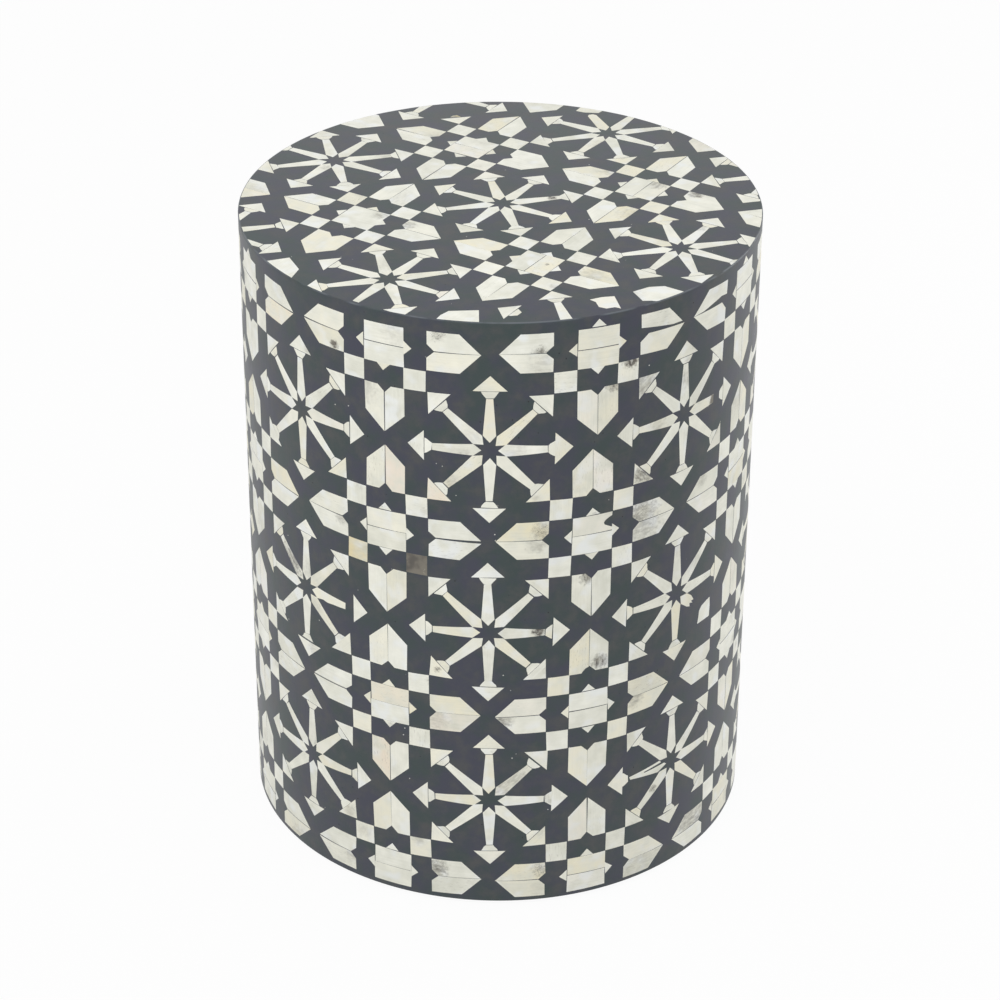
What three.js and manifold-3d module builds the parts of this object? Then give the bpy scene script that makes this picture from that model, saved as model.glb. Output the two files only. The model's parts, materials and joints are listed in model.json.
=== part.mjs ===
import * as THREE from 'three';
import { mergeVertices } from 'three/addons/utils/BufferGeometryUtils.js';
import Module from 'manifold-3d';

// Moroccan drum stool with bone inlay: a closed round drum on four low glides.
// Millimetres, +Z up, origin on the floor under the middle of the drum.

// Overall size
const drumDiameter = 350;
const standingHeight = 450;
const ringSegments = 48;

// Clearances
const seatGap = 0.3;
const cutOverrun = 2;
const weldTolerance = 0.0001;

// Carcass: two boards, battens between them, one hoop at mid height and two bent skins
const topBoardThickness = 18;
const baseBoardThickness = 15;
const skinThickness = 6;
const battenCount = 6;
const battenWidth = 40;
const battenDepth = 22;
const hoopThickness = 12;
const hoopWidth = 36;
const hoopHeightShare = 0.5;

// Surface: bone tiles stand on a thin bed whose borders are flush with the bone
const boneThickness = 2;
const bedThickness = 0.8;
const rimBandHeight = 4.5;
const footBandHeight = 2;
const seatBorderWidth = 2;
const edgeRadius = 1.2;
const edgeSteps = 2;

// Star motif: a block with four points, four corner squares and four pairs of notched tiles
const starBlockHalf = 14;
const starPointReach = 19.6;
const starPointHalf = 5;
const cornerSquareSide = 15.2;
const housePointGap = 9;
const houseNotchHalf = 4.6;
const houseNotchDepth = 4.7;

// Compass motif: eight tapered arms, each with a collar and an arrowhead
const armTipRadius = 5.5;
const armShoulderRadius = 10.5;
const armEndHalf = 2.3;
const collarLength = 5.2;
const collarWideHalf = 6;
const headLength = 10.5;
const headHalf = 10.3;
const straightArmReach = 53.4;

// Pattern lattice on the side and on the seat
const sideRowPitch = 135;
const firstStarDrop = 25;
const seatPitch = 136.6;
const seatTurn = THREE.MathUtils.degToRad(-30);
const seatLatticeReach = 2;
const tileJoin = 0.8;
const tileGap = 0.4;

// Screws through the boards into the batten ends
const screwLength = 45;
const screwHeadRadius = 3.6;
const screwHeadDepth = 2.8;
const screwShankRadius = 1.9;
const screwPointLength = 5;
const screwSides = 8;

// Glides nailed under the base board
const glideCount = 4;
const glideHeight = 3;
const glideRadius = 11;
const glideInset = 42;
const glideEdge = 0.8;
const glideSegments = 12;
const nailShankRadius = 1.1;
const nailHeadRadius = 3.5;
const nailHeadThickness = 1;
const nailHeadSink = 0.6;
const nailLength = 12;
const nailPointLength = 2;

// Levels and radii worked out from the sizes above
const drumRadius = drumDiameter / 2;
const facetShare = Math.cos(Math.PI / ringSegments);
const starReach = starBlockHalf + cornerSquareSide;
const sideColumnCount = Math.round((Math.PI * drumDiameter) / sideRowPitch);
const sideColumnPitch = (Math.PI * drumDiameter) / sideColumnCount;
const underside = glideHeight;
const boneFootRadius = drumRadius - boneThickness;
const longestChord = straightArmReach - armTipRadius;
const chordSag = drumRadius - Math.sqrt(drumRadius ** 2 - (longestChord / 2) ** 2);
const sideBedRadius = boneFootRadius - chordSag - seatGap;
const skinRadius = sideBedRadius - bedThickness - seatGap;
const skinInnerRadius = skinRadius - skinThickness;
const boardRadius = skinInnerRadius - seatGap;
const battenCornerRadius = boardRadius * facetShare;
const battenFace = Math.sqrt(battenCornerRadius ** 2 - (battenWidth / 2) ** 2);
const battenCentre = battenFace - battenDepth / 2;
const seatBedTop = standingHeight - boneThickness - seatGap;
const seatBedFoot = seatBedTop - bedThickness;
const boardTop = seatBedFoot - seatGap;
const battenFoot = underside + baseBoardThickness + seatGap;
const battenTop = boardTop - topBoardThickness - seatGap;
const hoopLevel = battenFoot + (battenTop - battenFoot) * hoopHeightShare;
const glideOrbit = drumRadius - glideInset;

const finishes = {
  bone: { color: 0xe6e3d3, roughness: 0.42, metalness: 0 },
  filler: { color: 0x4b5058, roughness: 0.48, metalness: 0 },
  board: { color: 0xa98a63, roughness: 0.85, metalness: 0 },
  plywood: { color: 0xc4a274, roughness: 0.75, metalness: 0 },
  pine: { color: 0xd8bb8c, roughness: 0.75, metalness: 0 },
  nylon: { color: 0x2b2a29, roughness: 0.5, metalness: 0 },
  steel: { color: 0x8f9296, roughness: 0.4, metalness: 1 },
};

const wasm = await Module();
wasm.setup();

const stool = new THREE.Group();

function addPiece(name, geometry, finish) {
  const mesh = new THREE.Mesh(geometry, new THREE.MeshStandardMaterial(finishes[finish]));
  mesh.name = name;
  stool.add(mesh);
  return mesh;
}

function toSolid(geometry) {
  const bare = geometry.clone();
  bare.deleteAttribute('normal');
  bare.deleteAttribute('uv');
  const merged = mergeVertices(bare);
  return new wasm.Manifold(new wasm.Mesh({
    numProp: 3,
    vertProperties: new Float32Array(merged.attributes.position.array),
    triVerts: new Uint32Array(merged.index.array),
  }));
}

function toGeometry(solid) {
  const mesh = solid.getMesh();
  const geometry = new THREE.BufferGeometry();
  geometry.setAttribute('position', new THREE.BufferAttribute(mesh.vertProperties, 3));
  geometry.setIndex(new THREE.BufferAttribute(mesh.triVerts, 1));
  return geometry;
}

// Revolves a profile of [radius, height] points about Z.
function turned(profile, segments) {
  const points = profile.map(([radius, height]) => new THREE.Vector2(radius, height));
  return new THREE.LatheGeometry(points, segments).rotateX(Math.PI / 2);
}

function disc(radius, foot, top, segments = ringSegments) {
  return turned([[0, foot], [radius, foot], [radius, top], [0, top]], segments);
}

function ring(inner, outer, foot, top) {
  return turned([[inner, foot], [outer, foot], [outer, top], [inner, top], [inner, foot]], ringSegments);
}

function around(count, start = 0) {
  return Array.from({ length: count }, (_, index) => start + (index * 2 * Math.PI) / count);
}

function onCircle(radius, angle) {
  return [radius * Math.cos(angle), radius * Math.sin(angle)];
}

// A screw stands on its head's face at z = 0 with its shank upwards; clearance swells it to a cutter.
function screw(clearance) {
  const head = screwHeadRadius + clearance;
  const shank = screwShankRadius + clearance;
  const tip = screwLength + clearance;
  const face = clearance > 0 ? -cutOverrun : 0;
  const profile = [
    [0, face], [head, face], [head, 0], [shank, screwHeadDepth + clearance],
    [shank, tip - screwPointLength], [0, tip],
  ];
  if (face === 0) profile.splice(1, 1);
  return turned(profile, screwSides);
}

function screwPlaces() {
  return around(battenCount).map((angle) => onCircle(battenCentre, angle));
}

function baseScrew(clearance, [x, y]) {
  return screw(clearance).translate(x, y, underside);
}

function topScrew(clearance, [x, y]) {
  return screw(clearance).rotateX(Math.PI).translate(x, y, boardTop);
}

function cut(geometry, cutters) {
  return toGeometry(cutters.reduce((solid, cutter) => solid.subtract(toSolid(cutter)), toSolid(geometry)));
}

function makeTopBoard() {
  const board = disc(boardRadius, boardTop - topBoardThickness, boardTop);
  addPiece('top_board', cut(board, screwPlaces().map((place) => topScrew(seatGap, place))), 'board');
}

function glidePlaces() {
  return around(glideCount, Math.PI / glideCount).map((angle) => onCircle(glideOrbit, angle));
}

// The nail's head sits in the glide's recess, and its shank runs up into the base board.
function nail(clearance) {
  const headFoot = nailHeadSink;
  const headTop = headFoot + nailHeadThickness;
  const shank = nailShankRadius + clearance;
  const tip = headTop + nailLength + clearance;
  return turned([
    [0, headFoot], [nailHeadRadius, headFoot], [nailHeadRadius, headTop], [shank, headTop],
    [shank, tip - nailPointLength], [0, tip],
  ], screwSides);
}

function makeBaseBoard() {
  const board = disc(boardRadius, underside, underside + baseBoardThickness);
  const screwHoles = screwPlaces().map((place) => baseScrew(seatGap, place));
  const nailHoles = glidePlaces().map(([x, y]) => nail(seatGap).translate(x, y, 0));
  addPiece('base_board', cut(board, [...screwHoles, ...nailHoles]), 'board');
}

function makeBattens() {
  const height = battenTop - battenFoot;
  around(battenCount).forEach((angle, index) => {
    const place = onCircle(battenCentre, angle);
    const blank = new THREE.BoxGeometry(battenDepth, battenWidth, height)
      .rotateZ(angle)
      .translate(...place, battenFoot + height / 2);
    const pilots = [baseScrew(seatGap, place), topScrew(seatGap, place)];
    addPiece(`batten_${index + 1}`, cut(blank, pilots), 'pine');
  });
}

function makeHoop() {
  const foot = hoopLevel - hoopThickness / 2;
  const hoop = ring(boardRadius - hoopWidth, boardRadius, foot, foot + hoopThickness);
  const notchDepth = boardRadius - battenFace + battenDepth + seatGap;
  const notches = around(battenCount).map((angle) => new THREE.BoxGeometry(
    notchDepth + cutOverrun,
    battenWidth + 2 * seatGap,
    hoopThickness + 2 * cutOverrun,
  ).translate(boardRadius - (notchDepth - cutOverrun) / 2, 0, hoopLevel).rotateZ(angle));
  addPiece('mid_hoop', cut(hoop, notches), 'plywood');
}

// Each skin is bent round half the carcass, and the two butt on the battens at either side.
function makeSkins() {
  const buttAngle = seatGap / 2 / skinInnerRadius;
  const outline = new THREE.Shape();
  outline.absarc(0, 0, skinRadius, buttAngle, Math.PI - buttAngle, false);
  outline.absarc(0, 0, skinInnerRadius, Math.PI - buttAngle, buttAngle, true);
  const height = boardTop - underside;
  ['back', 'front'].forEach((side, index) => {
    const skin = new THREE.ExtrudeGeometry(outline, {
      depth: height, bevelEnabled: false, curveSegments: ringSegments / 4,
    });
    addPiece(`skin_${side}`, skin.translate(0, 0, underside).rotateZ(index * Math.PI), 'plywood');
  });
}

function makeSideFiller() {
  const inner = skinRadius + seatGap;
  addPiece('side_filler', turned([
    [inner, underside], [drumRadius, underside], [drumRadius, underside + footBandHeight],
    [sideBedRadius, underside + footBandHeight], [sideBedRadius, standingHeight - rimBandHeight],
    [drumRadius, standingHeight - rimBandHeight], [drumRadius, boardTop], [inner, boardTop],
    [inner, underside],
  ], ringSegments), 'filler');
}

function makeSeatFiller() {
  const fieldRadius = drumRadius - seatBorderWidth;
  const edge = [];
  for (let step = 0; step <= edgeSteps; step += 1) {
    const [out, up] = onCircle(edgeRadius, (step * Math.PI) / 2 / edgeSteps);
    edge.push([drumRadius - edgeRadius + out, standingHeight - edgeRadius + up]);
  }
  addPiece('seat_filler', turned([
    [0, seatBedFoot], [drumRadius, seatBedFoot], ...edge,
    [fieldRadius, standingHeight], [fieldRadius, seatBedTop], [0, seatBedTop],
  ], ringSegments), 'filler');
}

// Outlines are lists of [x, y]. A half outline runs along +X and is mirrored across it.
function mirrored(half) {
  const lower = half.filter(([, y]) => y > 0).map(([x, y]) => [x, -y]).reverse();
  return [...half, ...lower];
}

function placed(outline, [x, y], angle = 0) {
  const [cos, sin] = onCircle(1, angle);
  return outline.map(([u, v]) => [x + u * cos - v * sin, y + u * sin + v * cos]);
}

function rectangle(left, right, low, high) {
  return [[left, low], [right, low], [right, high], [left, high]];
}

function houseOutline(reach) {
  const base = starReach - tileJoin / 2;
  const half = starBlockHalf + tileJoin / 2;
  return mirrored([
    [base + houseNotchDepth, 0], [base, houseNotchHalf], [base, half], [reach - half, half], [reach, 0],
  ]);
}

// One star with its squares and houses; the pitches say how far the houses reach.
function starTiles(centre, columnPitch, rowPitch) {
  const block = rectangle(-starBlockHalf, starBlockHalf, -starBlockHalf, starBlockHalf);
  const near = starBlockHalf - tileJoin / 2;
  const square = rectangle(near, starReach, near, starReach);
  const point = mirrored([[near, starPointHalf], [starPointReach, 0]]);
  const tiles = [placed(block, centre)];
  around(4).forEach((angle, index) => {
    const pitch = index % 2 === 0 ? columnPitch : rowPitch;
    tiles.push(placed(point, centre, angle));
    tiles.push(placed(square, centre, angle));
    tiles.push(placed(houseOutline((pitch - housePointGap) / 2), centre, angle));
  });
  return tiles;
}

// An arm's shoulders touch its neighbours' when the angle between them is at most the widest.
function armOutline(reach, widestAngle) {
  const headBase = reach - headLength;
  const shoulderHalf = armShoulderRadius * Math.tan(widestAngle / 2) + tileJoin / 2;
  return mirrored([
    [armTipRadius, 0], [armShoulderRadius, shoulderHalf], [headBase - collarLength, armEndHalf],
    [headBase, collarWideHalf], [headBase, headHalf], [reach, 0],
  ]);
}

// One compass; its slanting arms reach the squares of the stars round it.
// The joins say how far the arms on the -X and +X sides go into those squares, or stop short.
function compassTiles(centre, columnPitch, rowPitch, nearJoin, farJoin) {
  const across = columnPitch / 2 - starReach;
  const along = rowPitch / 2 - starReach;
  const cornerAngle = Math.atan2(along, across);
  const cornerReach = Math.hypot(across, along);
  const widest = Math.max(cornerAngle, Math.PI / 2 - cornerAngle);
  const straightArm = armOutline(straightArmReach, widest);
  const straight = around(4).map((angle) => placed(straightArm, centre, angle));
  const slanting = [
    [cornerAngle, farJoin], [-cornerAngle, farJoin],
    [Math.PI - cornerAngle, nearJoin], [Math.PI + cornerAngle, nearJoin],
  ].map(([angle, join]) => placed(armOutline(cornerReach + join, widest), centre, angle));
  return [...straight, ...slanting];
}

function joinedTiles(tiles) {
  const settings = { depth: boneThickness, bevelEnabled: false };
  const solids = tiles.map((tile) => {
    const shape = new THREE.Shape(tile.map(([x, y]) => new THREE.Vector2(x, y)));
    return toSolid(new THREE.ExtrudeGeometry(shape, settings));
  });
  const sheet = solids.reduce((whole, solid) => whole.add(solid));
  return sheet.asOriginal().simplify(weldTolerance);
}

// Bends a flat sheet of tiles, which lies in XY with its face up, onto the drum's front.
function bentOntoDrum(geometry) {
  const position = geometry.attributes.position;
  for (let index = 0; index < position.count; index += 1) {
    const angle = position.getX(index) / drumRadius;
    const radius = boneFootRadius + position.getZ(index);
    position.setXYZ(index, radius * Math.sin(angle), -radius * Math.cos(angle), position.getY(index));
  }
  return geometry;
}

// One column of stars with the compasses on its right, as one joined sheet of bone.
function makeSideInlay() {
  const low = underside + footBandHeight + tileGap;
  const high = standingHeight - rimBandHeight - tileGap;
  const firstLevel = standingHeight - firstStarDrop;
  const starCount = Math.floor((firstLevel - starBlockHalf - low) / sideRowPitch) + 1;
  const tiles = [];
  for (let row = 0; row < starCount; row += 1) {
    const level = firstLevel - row * sideRowPitch;
    tiles.push(...starTiles([0, level], sideColumnPitch, sideRowPitch));
    if (row + 1 < starCount) {
      const centre = [sideColumnPitch / 2, level - sideRowPitch / 2];
      tiles.push(...compassTiles(centre, sideColumnPitch, sideRowPitch, tileJoin, -tileGap));
    }
  }
  const whole = tiles.filter((tile) => tile.every(([, y]) => y > low && y < high));
  const column = bentOntoDrum(toGeometry(joinedTiles(whole)));
  around(sideColumnCount, Math.PI / sideColumnCount).forEach((angle, index) => {
    addPiece(`side_inlay_${index + 1}`, column.clone().rotateZ(angle), 'bone');
  });
}

// The seat's lattice has a compass at its middle. Tile ends that the border cuts loose are left out.
function makeSeatInlay() {
  const fieldRadius = (drumRadius - seatBorderWidth - tileGap) * facetShare;
  const tiles = [];
  for (let column = -seatLatticeReach; column <= seatLatticeReach; column += 1) {
    for (let row = -seatLatticeReach; row <= seatLatticeReach; row += 1) {
      const compass = [column * seatPitch, row * seatPitch];
      const star = [compass[0] + seatPitch / 2, compass[1] + seatPitch / 2];
      tiles.push(...compassTiles(compass, seatPitch, seatPitch, tileJoin, tileJoin));
      tiles.push(...starTiles(star, seatPitch, seatPitch));
    }
  }
  const touching = tiles.filter((tile) => tile.some(([x, y]) => Math.hypot(x, y) < fieldRadius));
  const field = toSolid(disc(fieldRadius, -cutOverrun, boneThickness + cutOverrun));
  const pieces = joinedTiles(touching).intersect(field).decompose();
  const largest = pieces.reduce((best, piece) => (piece.volume() > best.volume() ? piece : best));
  const sheet = toGeometry(largest).rotateZ(seatTurn);
  addPiece('seat_inlay', sheet.translate(0, 0, standingHeight - boneThickness), 'bone');
}

function makeScrews() {
  screwPlaces().forEach((place, index) => {
    addPiece(`base_screw_${index + 1}`, baseScrew(0, place), 'steel');
    addPiece(`top_screw_${index + 1}`, topScrew(0, place), 'steel');
  });
}

function makeGlides() {
  const bore = nailShankRadius + seatGap;
  const recess = nailHeadRadius + seatGap;
  const recessTop = nailHeadSink + nailHeadThickness + seatGap;
  const top = underside - seatGap;
  glidePlaces().forEach(([x, y], index) => {
    const glide = turned([
      [recess, 0], [glideRadius - glideEdge, 0], [glideRadius, glideEdge], [glideRadius, top],
      [bore, top], [bore, recessTop], [recess, recessTop], [recess, 0],
    ], glideSegments);
    addPiece(`glide_${index + 1}`, glide.translate(x, y, 0), 'nylon');
    addPiece(`glide_nail_${index + 1}`, nail(0).translate(x, y, 0), 'steel');
  });
}

makeTopBoard();
makeBaseBoard();
makeBattens();
makeHoop();
makeSkins();
makeSideFiller();
makeSeatFiller();
makeSideInlay();
makeSeatInlay();
makeScrews();
makeGlides();

export default stool;
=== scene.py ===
"""Looks of a Moroccan drum stool: bone tiles in dark filler round a hollow timber drum.

Metres, +Z up, the drum's axis on Z and the front of the photograph towards -Y.
"""

import json
import logging
import math
import random
from collections.abc import Iterable
from dataclasses import dataclass, field
from enum import Enum

import bmesh
import bpy
from mathutils import Matrix, Vector


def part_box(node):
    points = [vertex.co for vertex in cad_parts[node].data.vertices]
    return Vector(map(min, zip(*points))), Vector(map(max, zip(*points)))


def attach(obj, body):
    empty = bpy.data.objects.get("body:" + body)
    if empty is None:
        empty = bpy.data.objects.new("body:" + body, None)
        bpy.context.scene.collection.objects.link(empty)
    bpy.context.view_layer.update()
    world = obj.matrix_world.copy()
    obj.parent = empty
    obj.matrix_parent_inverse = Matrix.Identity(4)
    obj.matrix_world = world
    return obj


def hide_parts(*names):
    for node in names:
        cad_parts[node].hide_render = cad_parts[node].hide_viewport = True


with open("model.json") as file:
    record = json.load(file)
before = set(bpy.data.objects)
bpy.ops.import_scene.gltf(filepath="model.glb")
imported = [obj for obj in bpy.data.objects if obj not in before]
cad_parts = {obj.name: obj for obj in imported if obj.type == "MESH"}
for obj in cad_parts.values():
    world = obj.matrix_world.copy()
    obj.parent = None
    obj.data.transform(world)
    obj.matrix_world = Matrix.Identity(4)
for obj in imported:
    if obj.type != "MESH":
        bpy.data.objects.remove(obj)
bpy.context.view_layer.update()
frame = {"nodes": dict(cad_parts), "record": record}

log = logging.getLogger("drum_stool")

Point = tuple[float, float]
Outline = list[Point]
Span = tuple[float, float]
Scale = tuple[float, float, float]
Colour = tuple[float, float, float, float]

MM = 0.001
BODY = "root"
DRUM_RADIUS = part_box("side_filler")[1].x
SEAT_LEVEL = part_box("seat_filler")[1].z
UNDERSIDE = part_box("side_filler")[0].z
WELD = 0.001 * MM
WHITE: Colour = (1.0, 1.0, 1.0, 1.0)


class Way(Enum):
    """Directions on the flat pattern, in quarter turns from east."""

    E = 0.0
    NE = 0.5
    N = 1.0
    NW = 1.5
    W = 2.0
    SW = 2.5
    S = 3.0
    SE = 3.5

    @property
    def angle(self) -> float:
        """The turn from east, in radians."""
        return self.value * math.pi / 2

    def past(self, quarters: float) -> "Way":
        """The way that lies so many quarter turns further round."""
        return Way((self.value + quarters) % len(STRAIGHT))


class Seam(Enum):
    """How a star's block is cut from bone."""

    LEVEL = "level"
    UPRIGHT = "upright"
    WHOLE = "whole"


STRAIGHT = (Way.E, Way.N, Way.W, Way.S)
HALVES = {
    Way.E: ("upper", "lower"),
    Way.N: ("left", "right"),
    Way.W: ("lower", "upper"),
    Way.S: ("right", "left"),
}


# Materials

class Socket:
    """One output of a node; arithmetic on it adds Math nodes."""

    def __init__(self, paint: "Paint", link: bpy.types.NodeSocket) -> None:
        """Keeps the output and the material that it is in."""
        self.paint = paint
        self.link = link

    def _math(self, operation: str, first: "Socket | float", second: "Socket | float") -> "Socket":
        """Adds a Math node that works on two values."""
        return self.paint.node("ShaderNodeMath", {"operation": operation}, {0: first, 1: second})

    def __add__(self, other: "Socket | float") -> "Socket":
        """Self plus other."""
        return self._math("ADD", self, other)

    def __radd__(self, other: float) -> "Socket":
        """Other plus self."""
        return self._math("ADD", other, self)

    def __sub__(self, other: "Socket | float") -> "Socket":
        """Self minus other."""
        return self._math("SUBTRACT", self, other)

    def __rsub__(self, other: float) -> "Socket":
        """Other minus self."""
        return self._math("SUBTRACT", other, self)

    def __mul__(self, other: "Socket | float") -> "Socket":
        """Self times other."""
        return self._math("MULTIPLY", self, other)

    def __rmul__(self, other: float) -> "Socket":
        """Other times self."""
        return self._math("MULTIPLY", other, self)

    def __pow__(self, power: float) -> "Socket":
        """Self to a power."""
        return self._math("POWER", self, power)

    @property
    def swing(self) -> "Socket":
        """A noise of 0 to 1, moved to lie about zero."""
        return self - 0.5


class Paint:
    """One procedural material, made node by node."""

    def __init__(self, tree: bpy.types.NodeTree) -> None:
        """Starts from an emptied node tree."""
        self.tree = tree
        tree.nodes.clear()

    @classmethod
    def material(cls, name: str) -> tuple["Paint", bpy.types.Material]:
        """Starts a new material.

        Args:
            name: Its name.

        Returns:
            The paint that builds it, and the material.
        """
        made = bpy.data.materials.new(name)
        made.use_nodes = True
        return cls(made.node_tree), made

    @staticmethod
    def _find(sockets: Iterable[bpy.types.NodeSocket], key: str | int) -> bpy.types.NodeSocket:
        """Looks a socket up by its place, identifier or name."""
        found = list(sockets)
        if isinstance(key, int):
            return found[key]
        by_identifier = [socket for socket in found if socket.identifier == key]
        return (by_identifier or [socket for socket in found if socket.name == key])[0]

    def node(self, kind: str, settings: dict | None = None, values: dict | None = None,
             output: str | int = 0) -> "Socket | None":
        """Adds a node.

        Args:
            kind: The node's type.
            settings: Its properties, which are set first.
            values: A number, colour or Socket for each input, by place, identifier or name.
            output: Which output is handed back.

        Returns:
            That output, or None where the node has none.
        """
        made = self.tree.nodes.new(kind)
        for name, value in (settings or {}).items():
            setattr(made, name, value)
        for key, value in (values or {}).items():
            socket = self._find(made.inputs, key)
            if isinstance(value, Socket):
                self.tree.links.new(value.link, socket)
            else:
                socket.default_value = value
        return Socket(self, self._find(made.outputs, output)) if made.outputs else None

    def split(self, vector: Socket) -> tuple[Socket, ...]:
        """The three parts of a vector."""
        parts = self.node("ShaderNodeSeparateXYZ", None, {0: vector}).link.node.outputs
        return tuple(Socket(self, part) for part in parts)

    def join(self, x: "Socket | float", y: "Socket | float", z: "Socket | float") -> Socket:
        """A vector of three values."""
        return self.node("ShaderNodeCombineXYZ", None, {0: x, 1: y, 2: z})

    def attribute(self, name: str) -> tuple[Socket, ...]:
        """The three parts of a vector attribute of the mesh."""
        return self.split(self.node("ShaderNodeAttribute", {"attribute_name": name}, output="Vector"))

    def place(self) -> Socket:
        """The point on the piece, in metres."""
        return self.node("ShaderNodeTexCoord", output="Object")

    def noise(self, vector: Socket, scale: float | Scale, detail: float = 2.0,
              roughness: float = 0.5) -> Socket:
        """Noise from 0 to 1.

        Args:
            vector: Where it is read.
            scale: Features per metre, in all directions or along each axis.
            detail: How many finer layers it has.
            roughness: How strong those layers are.

        Returns:
            The noise.
        """
        if isinstance(scale, tuple):
            vector = self.node("ShaderNodeMapping", None, {"Vector": vector, "Scale": scale})
            scale = 1.0
        return self.node("ShaderNodeTexNoise", None, {
            "Vector": vector, "Scale": scale, "Detail": detail, "Roughness": roughness,
        }, output="Fac")

    def spots(self, vector: Socket, scale: float) -> Socket:
        """The distance to the nearest of many scattered points, in spacings."""
        values = {"Vector": vector, "Scale": scale}
        return self.node("ShaderNodeTexVoronoi", {"feature": "F1"}, values, output="Distance")

    def between(self, value: Socket, low: float, high: float) -> Socket:
        """A smooth step of a value, 0 at low and 1 at high, whichever is larger."""
        values = {"Value": value, "From Min": low, "From Max": high}
        return self.node("ShaderNodeMapRange", {"interpolation_type": "SMOOTHSTEP"}, values)

    def limited(self, value: Socket) -> Socket:
        """A value kept from 0 to 1."""
        return self.node("ShaderNodeClamp", None, {"Value": value})

    def mix(self, share: "Socket | float", first: "Socket | Colour", second: "Socket | Colour") -> Socket:
        """Two colours mixed, the second showing by the share."""
        values = {"Factor_Float": share, "A_Color": first, "B_Color": second}
        return self.node("ShaderNodeMix", {"data_type": "RGBA"}, values, output="Result_Color")

    def bump(self, height: Socket, depth: float) -> Socket:
        """A normal from a height of 0 to 1 that is so many metres deep."""
        return self.node("ShaderNodeBump", None, {"Strength": 1.0, "Distance": depth, "Height": height})

    def seen(self) -> Socket:
        """1 for rays from the camera, reflections and glass, and 0 for light on surfaces."""
        rays = self.node("ShaderNodeLightPath").link.node.outputs
        camera, glossy, through = (
            Socket(self, rays[name])
            for name in ("Is Camera Ray", "Is Glossy Ray", "Is Transmission Ray")
        )
        return self.limited(camera + glossy + through)

    def surface(self, values: dict) -> None:
        """Ends the material in a Principled surface with these inputs."""
        self.finish(self.node("ShaderNodeBsdfPrincipled", None, values))

    def finish(self, shader: Socket) -> None:
        """Links a shader to the material's output."""
        self.node("ShaderNodeOutputMaterial", None, {"Surface": shader})


def colour(red: int, green: int, blue: int) -> Colour:
    """A screen colour, 0 to 255 in each channel, as a linear colour."""
    full, knee, low_slope, offset, power = 255, 0.04045, 12.92, 0.055, 2.4

    def linear(value: float) -> float:
        """One channel made linear."""
        return value / low_slope if value <= knee else ((value + offset) / (1 + offset)) ** power

    return linear(red / full), linear(green / full), linear(blue / full), 1.0


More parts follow.
